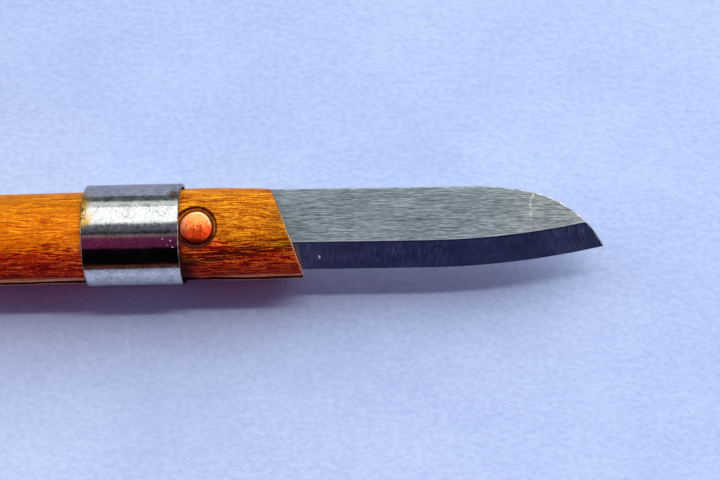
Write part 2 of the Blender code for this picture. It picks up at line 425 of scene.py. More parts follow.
def wood_look():
    """Oiled close-grained wood: orange, with painted shade that makes it redder and darker towards the slot, paler
    where it was sawn.
    """
    k = Look("handle_wood", IOR=1.45)
    k.shader.inputs["Specular IOR Level"].default_value = 0.04
    p = k.place()
    x, y, z = k.split(p)
    q = k.warped(p, (0.07, 0.28, 0.28), (0.0, 2.2, 2.2))
    q = k.warped(q, (0.30, 0.80, 0.80), (0.0, 0.55, 0.55))
    bands = k.noise(q, (0.045, 0.8, 0.8), 3.0, 0.55)
    streaks = k.noise(q, (0.11, 1.8, 1.8), 2.0, 0.5)
    lines = k.noise(q, (0.12, 4.3, 4.3), 1.0, 0.5)
    dashes = k.noise(q, (0.5, 5.0, 5.0), 1.0, 0.5)
    grit = k.noise(q, (2.4, 5.4, 5.4), 1.0, 0.5, offset=(6.0, 1.0, 2.0))
    grain = k.add(k.mul(bands, 0.10), k.mul(streaks, 0.13))
    grain = k.add(grain, k.add(k.mul(lines, 0.38), k.mul(dashes, 0.19)))
    grain = k.add(grain, k.mul(grit, 0.23))
    front = k.step(x, -12.0, 2.0)
    end = k.math("SUBTRACT", SLANT_MID_X, k.add(x, k.mul(y, SLANT_RUN / (2 * HANDLE_R))))
    # The grain stands out more in front of the ring
    grain = k.add(k.mul(k.add(grain, -0.5), k.step(front, 0.0, 1.0, 0.92, 1.32)), 0.5)
    colour = k.ramp(
        grain,
        [
            (0.38, (0.20, 0.020, 0.001)),
            (0.44, (0.39, 0.062, 0.002)),
            (0.50, (0.545, 0.126, 0.003)),
            (0.56, (0.715, 0.194, 0.004)),
            (0.62, (0.93, 0.335, 0.016)),
        ],
    )
    # Painted light and shade: darker along the blade's back, lighter towards the slot
    painted_girth_shading = k.ramp(
        k.mul(k.add(y, 9.0), 1.0 / 18.0),
        [
            (0.29, (1.26, 1.06, 0.6)),
            (0.47, (1.14, 1.06, 0.6)),
            (0.64, (1.0, 1.0, 0.6)),
            (0.76, (0.87, 0.95, 0.50)),
            (0.86, (0.74, 0.86, 0.35)),
        ],
    )
    colour = k.mix(k.step(front, 0.0, 1.0, 1.0, 0.35), colour, painted_girth_shading, "MULTIPLY")
    colour = k.mix(front, colour, (0.84, 0.92, 0.9), "MULTIPLY")
    pores = k.step(k.noise(q, (0.28, 5.0, 5.0), 1.0, 0.5, offset=(3.0, 9.0, 4.0)), 0.60, 0.70)
    colour = k.mix(k.mul(pores, k.step(front, 0.0, 1.0, 0.35, 0.7)), colour, (0.15, 0.022, 0.001))
    # Painted shade: redder and darker towards the slot, in ragged streaks
    wander = k.add(k.mul(k.add(bands, -0.5), 5.0), k.mul(k.add(streaks, -0.5), 4.5))
    wander = k.add(wander, k.mul(k.add(dashes, -0.5), 4.5))
    wander = k.add(wander, k.mul(k.step(end, 5.0, 1.0), 1.2))
    wander = k.add(wander, k.mul(k.mul(k.step(x, -5.0, -3.0), k.step(x, 6.5, 3.0)), -1.8))
    wander = k.mul(wander, k.step(front, 0.0, 1.0, 0.8, 0.95))
    low = k.step(k.add(y, k.add(wander, k.step(front, 0.0, 1.0, -0.3, 0.0))), -3.6, -4.3)
    red = k.ramp(
        k.add(k.mul(k.add(grain, -0.5), 1.5), 0.5),
        [
            (0.40, (0.11, 0.002, 0.001)),
            (0.47, (0.27, 0.007, 0.002)),
            (0.54, (0.50, 0.022, 0.003)),
            (0.60, (0.80, 0.085, 0.008)),
            (0.66, (1.0, 0.240, 0.030)),
        ],
    )
    # Painted shade, darker still along the bottom
    red = k.mix(k.step(y, -6.2, -7.6), red, (0.92, 0.74, 0.6), "MULTIPLY")
    colour = k.mix(low, colour, red)
    # One dark growth streak, in front of the ring
    track = k.add(k.add(y, 5.15), k.mul(k.add(x, -8.0), -0.125))
    track = k.add(track, k.add(k.mul(k.add(bands, -0.5), 2.0), k.mul(k.add(streaks, -0.5), 2.0)))
    streak = k.step(k.math("ABSOLUTE", track), 1.5, 0.40)
    streak = k.mul(streak, k.step(x, -9.0, -3.0))
    streak = k.mul(streak, k.step(lines, 0.70, 0.50))
    colour = k.mix(k.mul(streak, 0.93), colour, (0.070, 0.005, 0.002))
    # Grime worked into the grain by the slanted end
    grime = k.step(k.noise(q, (0.40, 3.4, 3.4), 2.0, 0.5, offset=(5.0, 2.0, 8.0)), 0.50, 0.62)
    grime = k.mul(grime, k.step(end, 7.0, 1.5))
    grime = k.mul(grime, k.mul(k.step(y, -5.0, -1.5), k.step(y, 5.5, 2.5)))
    colour = k.mix(k.mul(grime, 0.7), colour, (0.11, 0.058, 0.006))
    # Light scuffs just behind the ring
    scuff = k.mul(k.step(x, -28.0, -24.0), k.step(x, -20.0, -23.0))
    scuff = k.mul(scuff, k.step(k.noise(q, (0.6, 3.6, 3.6), 1.0), 0.58, 0.70))
    scuff = k.mul(scuff, k.mul(k.step(y, -8.0, -4.0), k.step(y, 4.0, 0.0)))
    colour = k.mix(k.mul(scuff, 0.5), colour, (0.85, 0.34, 0.12))
    # Bare wood on the planed strip, in the finger notch and in the mouth of the slot
    bare = k.ramp(
        k.add(k.mul(streaks, 0.5), k.mul(dashes, 0.5)),
        [(0.38, (0.46, 0.17, 0.05)), (0.5, (0.80, 0.39, 0.16)), (0.62, (1.0, 0.62, 0.34))],
    )
    width = k.step(x, -24.0, -3.0, 0.50, 0.075)
    on_strip = k.step(k.math("DIVIDE", k.add(y, -SLOT_FLAT_Y), width), 1.0, 0.5)
    hollow = k.length(k.add(x, -NOTCH_X), k.add(y, NOTCH_R - NOTCH_DEPTH - SLOT_FLAT_Y))
    in_notch = k.step(hollow, NOTCH_R + 0.5, NOTCH_R + 0.1)
    sawn = k.math("MAXIMUM", k.mul(on_strip, k.math("MAXIMUM", k.step(front, 0.0, 1.0, 0.85, 0.5), k.step(z, 0.5, -0.5, 0.0, 0.9))), k.mul(in_notch, 0.75))
    colour = k.mix(sawn, colour, bare)
    # Painted shadow of the ring on the wood where it stops, nearly black
    painted_ring_shadow = k.mul(k.step(x, -6.0, -4.0), k.step(x, 0.5, -2.6))
    painted_ring_shadow = k.mul(painted_ring_shadow, k.step(k.add(y, k.mul(k.add(dashes, -0.5), 3.0)), -2.0, -8.0))
    colour = k.mix(k.mul(painted_ring_shadow, 0.95), colour, (0.020, 0.005, 0.003))
    # Painted shade on the near side, between the ring and the counterbore
    painted_shade_by_ring = k.mul(k.step(x, -2.4, -3.3), k.mul(k.step(x, -6.0, -4.0), k.step(y, 2.2, -0.8)))
    colour = k.mix(k.mul(painted_shade_by_ring, k.step(z, 0.0, 2.0, 0.0, 0.8)), colour, (0.085, 0.009, 0.003))
    # Painted shade, nearly black, inside the slot
    inside = k.mix(k.step(dashes, 0.35, 0.65), (0.010, 0.003, 0.002), (0.030, 0.010, 0.005))
    painted_slot_shade = k.mul(
        k.step(k.math("ABSOLUTE", z), SLOT_W / 2 + 0.26, SLOT_W / 2 + 0.14),
        k.mul(k.step(y, SLOT_FLOOR_Y + 0.5, SLOT_FLOOR_Y + 0.1), k.step(x, SLOT_END_X - 0.2, SLOT_END_X)),
    )
    colour = k.mix(painted_slot_shade, colour, inside)
    # End grain on the slanted end and on the butt, with a pale arris round the slanted end and painted shade darkening
    # the slanted end towards the slot
    girdle = k.length(k.add(y, -13.0), k.add(z, 8.0))
    rings = k.noise(k.join(girdle, k.mul(y, 0.06), k.mul(z, 0.06)), (1.5, 1.0, 1.0), 2.0, 0.6)
    vessels = k.noise(p, (0.5, 5.0, 5.0), 1.0, 0.5)
    across_grain = k.ramp(
        k.add(k.mul(rings, 0.6), k.mul(vessels, 0.4)),
        [(0.36, (0.10, 0.032, 0.007)), (0.5, (0.21, 0.080, 0.020)), (0.64, (0.38, 0.18, 0.060))],
    )
    around = k.length(y, z)
    arris = k.mul(k.step(around, 8.55, 8.85), k.step(k.add(y, k.mul(k.add(dashes, -0.5), 3.0)), 4.0, -0.5, 0.1, 1.0))
    # Painted shade on the slanted end, dark towards the slot
    painted_end_shade = k.step(k.math("ABSOLUTE", z), 9.0, 6.0)
    cut = k.mix(k.mul(painted_end_shade, 0.88), across_grain, (0.050, 0.009, 0.006))
    cut = k.mix(arris, cut, (0.74, 0.45, 0.26))
    colour = k.mix(k.mul(k.step(end, 0.16, 0.05), 0.95), colour, cut)
    colour = k.mix(k.mul(k.step(x, BUTT_X + 0.5, BUTT_X + 0.1), 0.8), colour, across_grain)
    # Oily wood in the counterbores, with painted shade, black, in the gap round the rivet
    reach = k.length(k.add(x, -COUNTERBORE_DX), y)
    sunk = k.step(reach, COUNTERBORE_R + 0.10, COUNTERBORE_R - 0.05)
    colour = k.mix(k.mul(sunk, 0.65), colour, (0.48, 0.125, 0.014))
    # Painted shade by the ring and painted shadow of the head over the lower half, a painted highlight along the
    # ledge, and painted shade at the counterbore's rim and outside it below
    by_ring = k.mul(k.step(x, -2.4, -3.1), k.step(y, 2.6, -0.4))
    colour = k.mix(k.mul(k.mul(sunk, by_ring), k.step(z, 0.0, 2.0, 0.0, 0.85)), colour, (0.085, 0.006, 0.002))
    # Painted shadow of the head on the lower ledge
    lower = k.mul(sunk, k.step(k.add(y, k.mul(x, -0.1)), -0.6, -2.2))
    colour = k.mix(k.mul(lower, 0.97), colour, (0.030, 0.0015, 0.001))
    # Painted highlight along the lower ledge
    painted_ledge_highlight = k.mul(k.step(k.math("ABSOLUTE", k.add(reach, -3.68)), 0.11, 0.03), k.step(y, -2.9, -3.4))
    colour = k.mix(k.mul(painted_ledge_highlight, 0.09), colour, (0.50, 0.21, 0.18))
    # Painted shade of the counterbore's wall along its rim, strongest on top
    edge = k.add(reach, k.mul(k.add(dashes, -0.5), 0.8))
    rim = k.step(k.math("ABSOLUTE", k.add(edge, -COUNTERBORE_R)), 0.36, 0.12)
    rim = k.mul(rim, k.step(k.add(y, k.mul(x, 0.5)), -2.5, 1.0, 0.8, 1.0))
    colour = k.mix(k.mul(rim, 0.92), colour, (0.055, 0.005, 0.002))
    # Painted shade just outside the counterbore, below it
    painted_outer_shade = k.mul(k.step(edge, COUNTERBORE_R + 0.75, COUNTERBORE_R + 0.2), k.step(y, -2.4, -3.4))
    painted_outer_shade = k.mul(painted_outer_shade, k.step(edge, COUNTERBORE_R - 0.1, COUNTERBORE_R + 0.15))
    colour = k.mix(k.mul(painted_outer_shade, 0.75), colour, (0.11, 0.006, 0.002))
    # Painted shade in the gap round the rivet's head
    gap = k.length(k.add(x, -HEAD_DX), k.add(y, -HEAD_DY))
    colour = k.mix(k.mul(k.step(gap, POCKET_R + 0.08, POCKET_R), 0.75), colour, (0.070, 0.014, 0.003))
    k.feed("Base Color", colour)
    k.feed("Roughness", k.step(dashes, 0.3, 0.7, 0.42, 0.6))
    height = k.add(k.mul(lines, 0.4), k.add(k.mul(grit, 0.3), k.mul(dashes, 0.3)))
    k.feed("Normal", k.bump(height, 0.8, 0.2))
    return k.material


def edge_distance(k, x, y):
    """How far a place on the blade is from the cutting edge."""
    past = k.math("MAXIMUM", k.add(x, -BELLY_X), 0.0)
    return k.math("SUBTRACT", BELLY_R, k.length(past, k.add(y, -EDGE_Y - BELLY_R)))


def flat_look():
    """Satin steel, brushed along the blade."""
    k = Look("blade_flat_steel", Metallic=1.0)
    p = k.place(LEAN)
    x, y, z = k.split(p)
    brush = k.noise(p, (0.28, 6.4, 6.4), 1.0, 0.5)
    fine = k.noise(p, (0.7, 8.2, 8.2), 1.0, 0.5, offset=(2.0, 5.0, 1.0))
    broad = k.noise(p, (0.10, 1.2, 1.2), 2.0, 0.5, offset=(7.0, 3.0, 0.0))
    cloud = k.noise(p, (0.05, 0.10, 0.10), 2.0)
    shade = k.add(k.add(k.mul(brush, 0.45), k.mul(fine, 0.48)), k.mul(broad, 0.07))
    colour = k.ramp(
        shade,
        [(0.34, (0.103, 0.127, 0.139)), (0.50, (0.218, 0.264, 0.292)), (0.66, (0.392, 0.452, 0.482))],
    )
    # The nose is a little warmer, past one fine cross scratch
    colour = k.mix(k.step(x, 58.0, 68.0), colour, (1.20, 1.11, 1.04), "MULTIPLY")
    wobble = k.mul(k.add(k.noise(p, (0.6, 0.6, 0.6), 2.0), -0.5), 0.5)
    hook = k.math("MAXIMUM", k.add(y, -4.6), 0.0)
    line = k.add(k.add(x, -65.8), k.add(wobble, k.mul(k.mul(hook, hook), -0.11)))
    line = k.step(k.math("ABSOLUTE", line), 0.26, 0.08)
    line = k.mul(line, k.step(k.noise(p, (3.0, 3.4, 3.4), 2.0), 0.50, 0.59))
    line = k.mul(line, k.step(y, 0.5, 5.5, 0.35, 1.0))
    colour = k.mix(k.mul(line, 0.8), colour, (0.90, 0.88, 0.82))
    # A fine bright line where the bevel starts
    seam = k.step(k.add(edge_distance(k, x, y), -BEVEL_W), 0.26, 0.06)
    colour = k.mix(k.mul(k.mul(seam, k.step(x, 13.0, 14.0)), 0.4), colour, (0.62, 0.66, 0.68))
    k.feed("Base Color", colour)
    k.feed("Roughness", k.step(k.add(k.mul(brush, 0.6), k.mul(cloud, 0.4)), 0.35, 0.65, 0.30, 0.42))
    k.feed("Normal", k.bump(k.add(k.mul(brush, 0.6), k.mul(fine, 0.4)), 0.35, 0.03))
    return k.material


def rim_look():
    """The eased corners along the blade's back and nose, polished by use."""
    k = Look("blade_rim_steel", Metallic=1.0)
    p = k.place(LEAN)
    wear = k.noise(p, (0.5, 0.9, 0.9), 3.0, 0.6)
    x, y, z = k.split(p)
    colour = k.ramp(wear, [(0.38, (0.17, 0.19, 0.20)), (0.64, (0.42, 0.43, 0.43))])
    k.feed("Base Color", k.mix(k.step(x, 46.0, 63.0), colour, (1.7, 1.65, 1.6), "MULTIPLY"))
    k.feed("Roughness", k.step(wear, 0.35, 0.65, 0.36, 0.20))
    return k.material


def bevel_look():
    """The ground bevels: nearly polished, with faint grinding lines across them."""
    k = Look("blade_bevel_steel", Metallic=1.0)
    p = k.place(LEAN)
    x, y, z = k.split(p)
    q = k.warped(p, (0.25, 0.25, 0.25), (0.8, 0.0, 0.0))
    lines = k.noise(q, (4.4, 0.75, 0.75), 1.0, 0.5)
    patch = k.noise(p, (0.12, 0.35, 0.35), 2.0)
    strong = k.mul(k.step(x, 26.0, 34.0), k.step(x, 54.0, 46.0))
    shade = k.mul(k.add(lines, -0.5), k.step(strong, 0.0, 1.0, 0.12, 0.5))
    colour = k.ramp(
        k.add(k.add(shade, 0.5), k.mul(k.add(patch, -0.5), 0.5)),
        [(0.36, (0.29, 0.325, 0.355)), (0.5, (0.40, 0.44, 0.47)), (0.66, (0.60, 0.63, 0.65))],
    )
    # Darker along the line where the bevel starts
    seam = k.step(k.math("SUBTRACT", BEVEL_W, edge_distance(k, x, y)), 0.45, 0.05)
    colour = k.mix(k.mul(seam, 0.6), colour, (0.10, 0.11, 0.12))
    # A small nick by the handle
    nick = k.length(k.add(x, -23.6), k.mul(k.add(y, 4.9), 0.8))
    spot = k.mul(k.step(nick, 0.6, 0.2), k.step(k.noise(p, (3.5, 2.2, 2.0), 2.0), 0.53, 0.6))
    colour = k.mix(k.mul(spot, 0.5), colour, (0.80, 0.76, 0.76))
    k.feed("Base Color", colour)
    k.feed("Roughness", k.add(k.step(lines, 0.4, 0.7, 0.10, 0.16), k.mul(spot, 0.4)))
    k.feed("Normal", k.bump(lines, 0.08, 0.01))
    return k.material


def ring_look():
    """Bare drawn steel tube, with stains and specks at its ends."""
    k = Look("ring_steel", Specular_Tint=(0.75, 0.75, 0.76))
    p = k.place()
    x, y, z = k.split(p)
    mottle = k.noise(p, (0.5, 0.5, 0.5), 4.0, 0.6)
    fine = k.noise(p, (2.4, 2.4, 2.4), 2.0, 0.6)
    pits = k.noise(p, (3.4, 3.4, 3.4), 1.0, 0.5, offset=(1.0, 7.0, 3.0))
    drawn = k.noise(p, (5.0, 0.4, 0.4), 2.0)
    colour = k.ramp(
        k.add(k.mul(mottle, 0.45), k.mul(fine, 0.55)),
        [(0.36, (0.215, 0.22, 0.218)), (0.49, (0.385, 0.39, 0.385)), (0.62, (0.50, 0.505, 0.495))],
    )
    # Painted reflection: brighter underneath, and warmer and brighter along the top
    colour = k.mix(k.step(y, -7.2, -8.4), colour, (1.35, 1.30, 1.28), "MULTIPLY")
    colour = k.mix(k.step(y, 6.4, 7.6), colour, (1.28, 1.13, 1.0), "MULTIPLY")
    dull = k.mul(k.step(pits, 0.64, 0.78), k.step(mottle, 0.44, 0.58, 0.15, 1.0))
    colour = k.mix(k.mul(dull, 0.75), colour, (0.10, 0.10, 0.10))
    # A gold stain with black specks at the rear rim
    rear = k.add(x, -RING_X0)
    up = k.mul(k.step(y, -0.8, 1.2), k.step(y, 8.2, 6.6))
    up = k.mul(up, k.step(z, 0.0, 2.0))
    gold = k.mul(k.step(k.add(rear, k.mul(k.add(mottle, -0.5), 4.0)), 2.7, 0.6), up)
    colour = k.mix(k.mul(gold, 0.92), colour, (0.44, 0.25, 0.035))
    speck = k.mul(k.step(rear, 1.5, 0.4), k.step(k.add(k.mul(fine, 0.6), k.mul(pits, 0.4)), 0.47, 0.52))
    speck = k.mul(speck, k.mul(k.step(y, 1.3, 2.2), k.mul(k.step(y, 5.8, 4.6), k.step(z, 0.0, 2.0))))
    # A brown spot at the front rim
    spot = k.length(k.add(x, 4.6), k.mul(k.add(y, -6.9), 0.9))
    spot = k.mul(k.step(k.add(spot, k.mul(k.add(fine, -0.5), 2.4)), 1.5, 0.4), k.step(z, 0.0, 2.0))
    colour = k.mix(k.mul(spot, 0.85), colour, (0.17, 0.065, 0.035))
    # Bright dings by the front rim
    ding = 0.0
    for at_x, at_y, size in ((-6.55, -2.25, 0.22), (-5.0, -2.65, 0.15), (-4.6, -3.85, 0.18), (-5.7, -3.45, 0.08)):
        off = k.length(k.add(x, -at_x), k.mul(k.add(y, -at_y), 1.3))
        off = k.add(off, k.mul(k.add(pits, -0.5), 0.8))
        ding = k.math("MAXIMUM", ding, k.step(off, size, size * 0.4))
    ding = k.mul(ding, k.step(z, 0.0, 2.0))
    colour = k.mix(ding, colour, (0.95, 0.95, 0.95))
    k.feed("Metallic", k.step(ding, 0.0, 1.0, 1.0, 0.5))
    # Duller along both cut ends
    ends = k.math("MAXIMUM", k.step(x, RING_X1 - 0.32, RING_X1 - 0.12), k.step(rear, 0.32, 0.12))
    colour = k.mix(k.mul(ends, k.step(fine, 0.40, 0.60, 0.75, 0.35)), colour, (0.085, 0.075, 0.072))
    # Sparse dark pinholes all over
    pin = k.step(k.cells(p, (1.1, 1.1, 1.1)), 0.15, 0.07)
    pin = k.mul(pin, k.step(mottle, 0.46, 0.56))
    dark = k.math("MAXIMUM", k.mul(speck, 0.97), k.mul(pin, 0.7))
    colour = k.mix(dark, colour, (0.020, 0.018, 0.016))
    k.feed("Base Color", colour)
    rough = k.step(k.add(k.mul(mottle, 0.5), k.mul(fine, 0.5)), 0.35, 0.65, 0.08, 0.15)
    rough = k.add(rough, k.mul(k.math("MAXIMUM", gold, spot), 0.16))
    rough = k.add(rough, k.mul(ding, 0.2))
    k.feed("Roughness", rough)
    height = k.add(k.add(k.mul(fine, 0.5), k.mul(drawn, 0.2)), k.mul(mottle, 0.5))
    height = k.add(height, k.mul(pin, -0.3))
    k.feed("Normal", k.bump(height, 0.16, 0.05))
    return k.material


def copper_look(name, tone):
    """Hammered copper, tarnished in specks, with painted shading: lighter on top, darker below and along its lower
    rim.
    """
    k = Look(name, Metallic=0.84, Coat_Weight=0.07, Coat_Roughness=0.3)
    k.shader.inputs["Specular IOR Level"].default_value = 0.1
    p = k.place()
    x, y, z = k.split(p)
    patch = k.noise(p, (0.9, 0.9, 0.9), 2.0, 0.6)
    grit = k.noise(p, (2.6, 2.6, 2.6), 2.0, 0.6)
    colour = k.ramp(
        k.add(k.mul(patch, 0.4), k.mul(grit, 0.6)),
        [
            (0.36, (tone[0] * 0.80, tone[1] * 0.62, tone[2] * 0.6)),
            (0.5, tone),
            (0.62, (min(1.0, tone[0] * 1.05), tone[1] * 1.9, tone[2] * 3.0)),
        ],
    )
    spark = k.noise(p, (4.4, 4.4, 4.4), 1.0, 0.5, offset=(4.0, 8.0, 2.0))
    colour = k.mix(k.mul(k.step(spark, 0.56, 0.68), 0.6), colour, (1.0, 0.50, 0.24))
    colour = k.mix(k.mul(k.step(spark, 0.44, 0.34), 0.6), colour, (0.50, 0.035, 0.003))
    # Painted light and shade: lighter on top, redder and darker towards the slot, darkest along the lower rim, with a
    # painted highlight on the upper right rim
    rough_y = k.add(y, k.mul(k.add(grit, -0.5), 2.2))
    colour = k.mix(k.mul(k.step(k.add(rough_y, k.mul(x, -0.2)), 0.7, -1.4), 0.85), colour, (0.78, 0.046, 0.003))
    colour = k.mix(k.mul(k.step(k.add(rough_y, k.mul(x, 0.15)), 0.4, 2.4), 0.75), colour, (1.0, 0.34, 0.105))
    colour = k.mix(k.mul(k.step(k.add(y, k.add(k.mul(x, 0.2), k.mul(k.add(grit, -0.5), 0.8))), -2.1, -2.45), 0.85), colour, (0.20, 0.006, 0.001))
    reach = k.length(k.add(x, -HEAD_DX), k.add(y, -HEAD_DY))
    painted_lower_rim_shade = k.mul(k.step(reach, 2.55, 2.8), k.step(y, -1.2, -2.2))
    colour = k.mix(k.mul(painted_lower_rim_shade, 0.8), colour, (0.17, 0.008, 0.003))
    painted_rim_highlight = k.mul(k.step(reach, 2.55, 2.85), k.step(k.add(k.mul(x, 0.55), k.mul(y, 0.85)), 1.4, 2.3))
    colour = k.mix(k.mul(painted_rim_highlight, 0.6), colour, (1.0, 0.66, 0.36))
    # Dull on the side of the ring, with painted shading from rosy on top to deep red at its foot
    rosy = k.step(k.add(x, k.mul(k.add(grit, -0.5), 2.4)), -1.6, -2.6)
    rosy = k.mul(k.mul(rosy, k.step(y, 2.7, 1.5)), k.step(z, 0.0, 2.0))
    painted_rim_shading = k.ramp(
        k.mul(k.add(y, 3.0), 1.0 / 6.0),
        [
            (0.13, (0.24, 0.010, 0.004)),
            (0.24, (0.34, 0.018, 0.007)),
            (0.42, (0.66, 0.085, 0.034)),
            (0.58, (1.0, 0.29, 0.14)),
            (0.77, (1.0, 0.43, 0.23)),
        ],
    )
    painted_rim_shading = k.mix(k.mul(k.step(spark, 0.56, 0.68), 0.5), painted_rim_shading, (1.0, 0.60, 0.38))
    painted_rim_shading = k.mix(k.mul(k.step(spark, 0.46, 0.36), 0.5), painted_rim_shading, (0.50, 0.045, 0.012))
    # Painted shade on the right of the head, below its middle
    shade = k.mul(k.step(x, 0.2, 1.6), k.mul(k.step(rough_y, 0.8, -0.6), k.step(z, 0.0, 2.0)))
    colour = k.mix(k.mul(shade, 0.5), colour, (0.42, 0.030, 0.003))
    colour = k.mix(k.mul(rosy, 0.95), colour, painted_rim_shading)
    k.feed("Metallic", k.step(rosy, 0.0, 1.0, 0.84, 0.12))
    k.feed("Base Color", colour)
    k.feed("Roughness", k.step(grit, 0.3, 0.7, 0.32, 0.50))
    k.feed("Normal", k.bump(k.add(k.mul(patch, 0.5), k.mul(grit, 0.5)), 0.18, 0.06))
    return k.material


def turned_look(name, tone):
    """Plain drawn or rolled metal of the inner pieces, with turning marks."""
    k = Look(name, Metallic=1.0)
    p = k.place()
    marks = k.noise(p, (0.6, 0.6, 6.0), 3.0, 0.6)
    patch = k.noise(p, (0.8, 0.8, 0.8), 2.0)
    colour = k.ramp(
        k.add(k.mul(marks, 0.5), k.mul(patch, 0.5)),
        [(0.36, tuple(c * 0.7 for c in tone)), (0.62, tone)],
    )
    k.feed("Base Color", colour)
    k.feed("Roughness", k.step(marks, 0.3, 0.7, 0.25, 0.42))
    k.feed("Normal", k.bump(marks, 0.2, 0.03))
    return k.material


# Handle -----------------------------------------------------------------------------


def round_max(a, b, k):
    """The larger of two fields, with the edge between them rounded over about k."""
    h = np.maximum(k - np.abs(a - b), 0.0) / k
    return np.maximum(a, b) + h * h * k * 0.25


def ease_in(a):
    a = np.clip(a, 0.0, 1.0)
    return a * a * (3 - 2 * a)


def handle_field(x, y, z):
    # In front of the ring the back swells and eases off again, and the slot side swells up to the slanted end
    back = 0.15 * ease_in((x + 4.5) / 2.5) * (1.0 - 1.9 * ease_in((x - 2.0) / 12.0)) - 0.14 * ease_in((x - 10.5) / 3.0)
    belly = 0.25 * ease_in(x / 8.0) * (1.0 - 0.25 * ease_in((x - 9.0) / 9.0))
    swell = belly + (back - belly) * ease_in((y + 4.0) / 8.0)
    radial = np.sqrt(y * y + z * z) - HANDLE_R - swell
    radial = radial + 0.025 + 0.03 * value_noise(x * 0.06, y * 0.3, z * 0.3, 1)
    butt = BUTT_X - x
    a, b = radial + BUTT_ROUND, butt + BUTT_ROUND
    body = np.hypot(np.maximum(a, 0), np.maximum(b, 0)) + np.minimum(np.maximum(a, b), 0) - BUTT_ROUND
    slope = SLANT_RUN / (2 * HANDLE_R)
    slant = (x - SLANT_MID_X + y * slope) / math.hypot(1.0, slope)
    slant = slant + 0.05 * value_noise(x * 0.0, y * 0.6, z * 0.6, 2)
    body = round_max(body, slant, 0.45)
    lip = value_noise(x * 0.32, np.sign(z) * 3.0, 0.0 * x, 3)
    strip = SLOT_FLAT_Y - belly + 0.09 * lip - y
    body = round_max(body, strip, 0.5)
    # The slot, closed by the web behind the rivet
    end = np.maximum(SLOT_END_X - x, (y - SLOT_FLOOR_Y + (5.0 / 3.0) * (SLOT_END_X + 3.0 - x)) / math.hypot(1.0, 5.0 / 3.0))
    profile = np.minimum(np.maximum(y - SLOT_FLOOR_Y, end), WEB_FRONT_X - x)
    saw = 0.02 * value_noise(x * 1.3, y * 0.4, np.sign(z) * 5.0, 4)
    slot = np.maximum(np.abs(z) - SLOT_W / 2 + saw, profile)
    body = round_max(body, -slot, 0.45)
    notch = NOTCH_R - np.hypot(x - NOTCH_X, y - (SLOT_FLAT_Y - NOTCH_R + NOTCH_DEPTH))
    body = round_max(body, notch, 1.2)
    # The near counterbore was drilled a little off the bore, and the head was peened over to one side
    near = z > 0
    ledge = np.hypot(x - np.where(near, COUNTERBORE_DX, 0.0), y) - COUNTERBORE_R
    body = round_max(body, -np.maximum(ledge, LEDGE_Z - np.abs(z)), 0.3)
    pocket = np.where(near, np.hypot(x - HEAD_DX, y - HEAD_DY) - POCKET_R, np.hypot(x, y) - BURR_POCKET_R)
    body = round_max(body, -np.maximum(pocket, COUNTERBORE_Z - np.abs(z)), 0.2)
    return round_max(body, BORE_R - np.hypot(x, y), 0.2)


def graded(ends, steps):
    """Grid lines from one end to the next at the given spacings."""
    lines = [ends[0]]
    for low, high, step in zip(ends, ends[1:], steps):
        count = max(1, round((high - low) / step))
        lines += [low + (high - low) * i / count for i in range(1, count + 1)]
    return np.array(lines)


across = np.linspace(-9.78, 9.78, 63)
along = graded(
    [BUTT_X - 0.7, -107.5, -86.0, -78.0, -62.0, -41.0, -9.0, 24.6],
    [0.36, 1.1, 0.45, 1.1, 0.6, 1.1, 0.31],
)
handle = piece("wooden_handle", *surface_net(handle_field, along, across, across))
handle.data.materials.append(wood_look())
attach(handle, "handle_body")
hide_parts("handle")

# Blade ------------------------------------------------------------------------------

SPINE_CHAMFER, SPINE_EASE = 0.10, 0.22


def nose_line(inset):
    """Points along the two nose arcs, a little inside the outline."""
    last = math.asin((TIP_X - POINT_CX) / POINT_R)
    points = []
    for i in range(41):
        a = POINT_TURN * i / 40
        points.append((NOSE_X + (NOSE_R - inset) * math.sin(a), SPINE_Y - NOSE_R + (NOSE_R - inset) * math.cos(a)))
    for i in range(1, 61):
        a = POINT_TURN + (last - POINT_TURN) * i / 60
        points.append((POINT_CX + (POINT_R - inset) * math.sin(a), POINT_CY + (POINT_R - inset) * math.cos(a)))
    return points


def blade_outline():
    """The blade's outline, anticlockwise from the heel's shoulder down round the tang."""
    foot = -math.acos(-math.sqrt(1 - (EDGE_Y / TANG_R) ** 2))
    heel = math.acos(HEEL_X / TANG_R) - math.tau
    points = []
    for i in range(49):
        a = heel + (foot - heel) * i / 48
        points.append((TANG_R * math.cos(a), TANG_R * math.sin(a)))
    first = points[-1][0]
    points += [(first + (BELLY_X - first) * i / 60, EDGE_Y) for i in range(1, 60)]
    points += [(x, edge_y(x)) for x in np.linspace(BELLY_X, TIP_X, 72)]
    points += nose_line(0.0)[-2::-1]
    points += [(NOSE_X + (HEEL_X - NOSE_X) * i / 60, SPINE_Y) for i in range(1, 61)]
    return points


def from_edge(x, y):
    curved = BELLY_R - np.hypot(x - BELLY_X, y - EDGE_Y - BELLY_R)
    return np.where(x > BELLY_X, curved, y - EDGE_Y)


def from_spine(x, y):
    first = NOSE_R - np.hypot(x - NOSE_X, y - SPINE_Y + NOSE_R)
    second = POINT_R - np.hypot(x - POINT_CX, y - POINT_CY)
    past = (x - NOSE_X) * math.cos(POINT_TURN) > (y - SPINE_Y + NOSE_R) * math.sin(POINT_TURN)
    return np.where(past, second, np.where(x > NOSE_X, first, SPINE_Y - y))


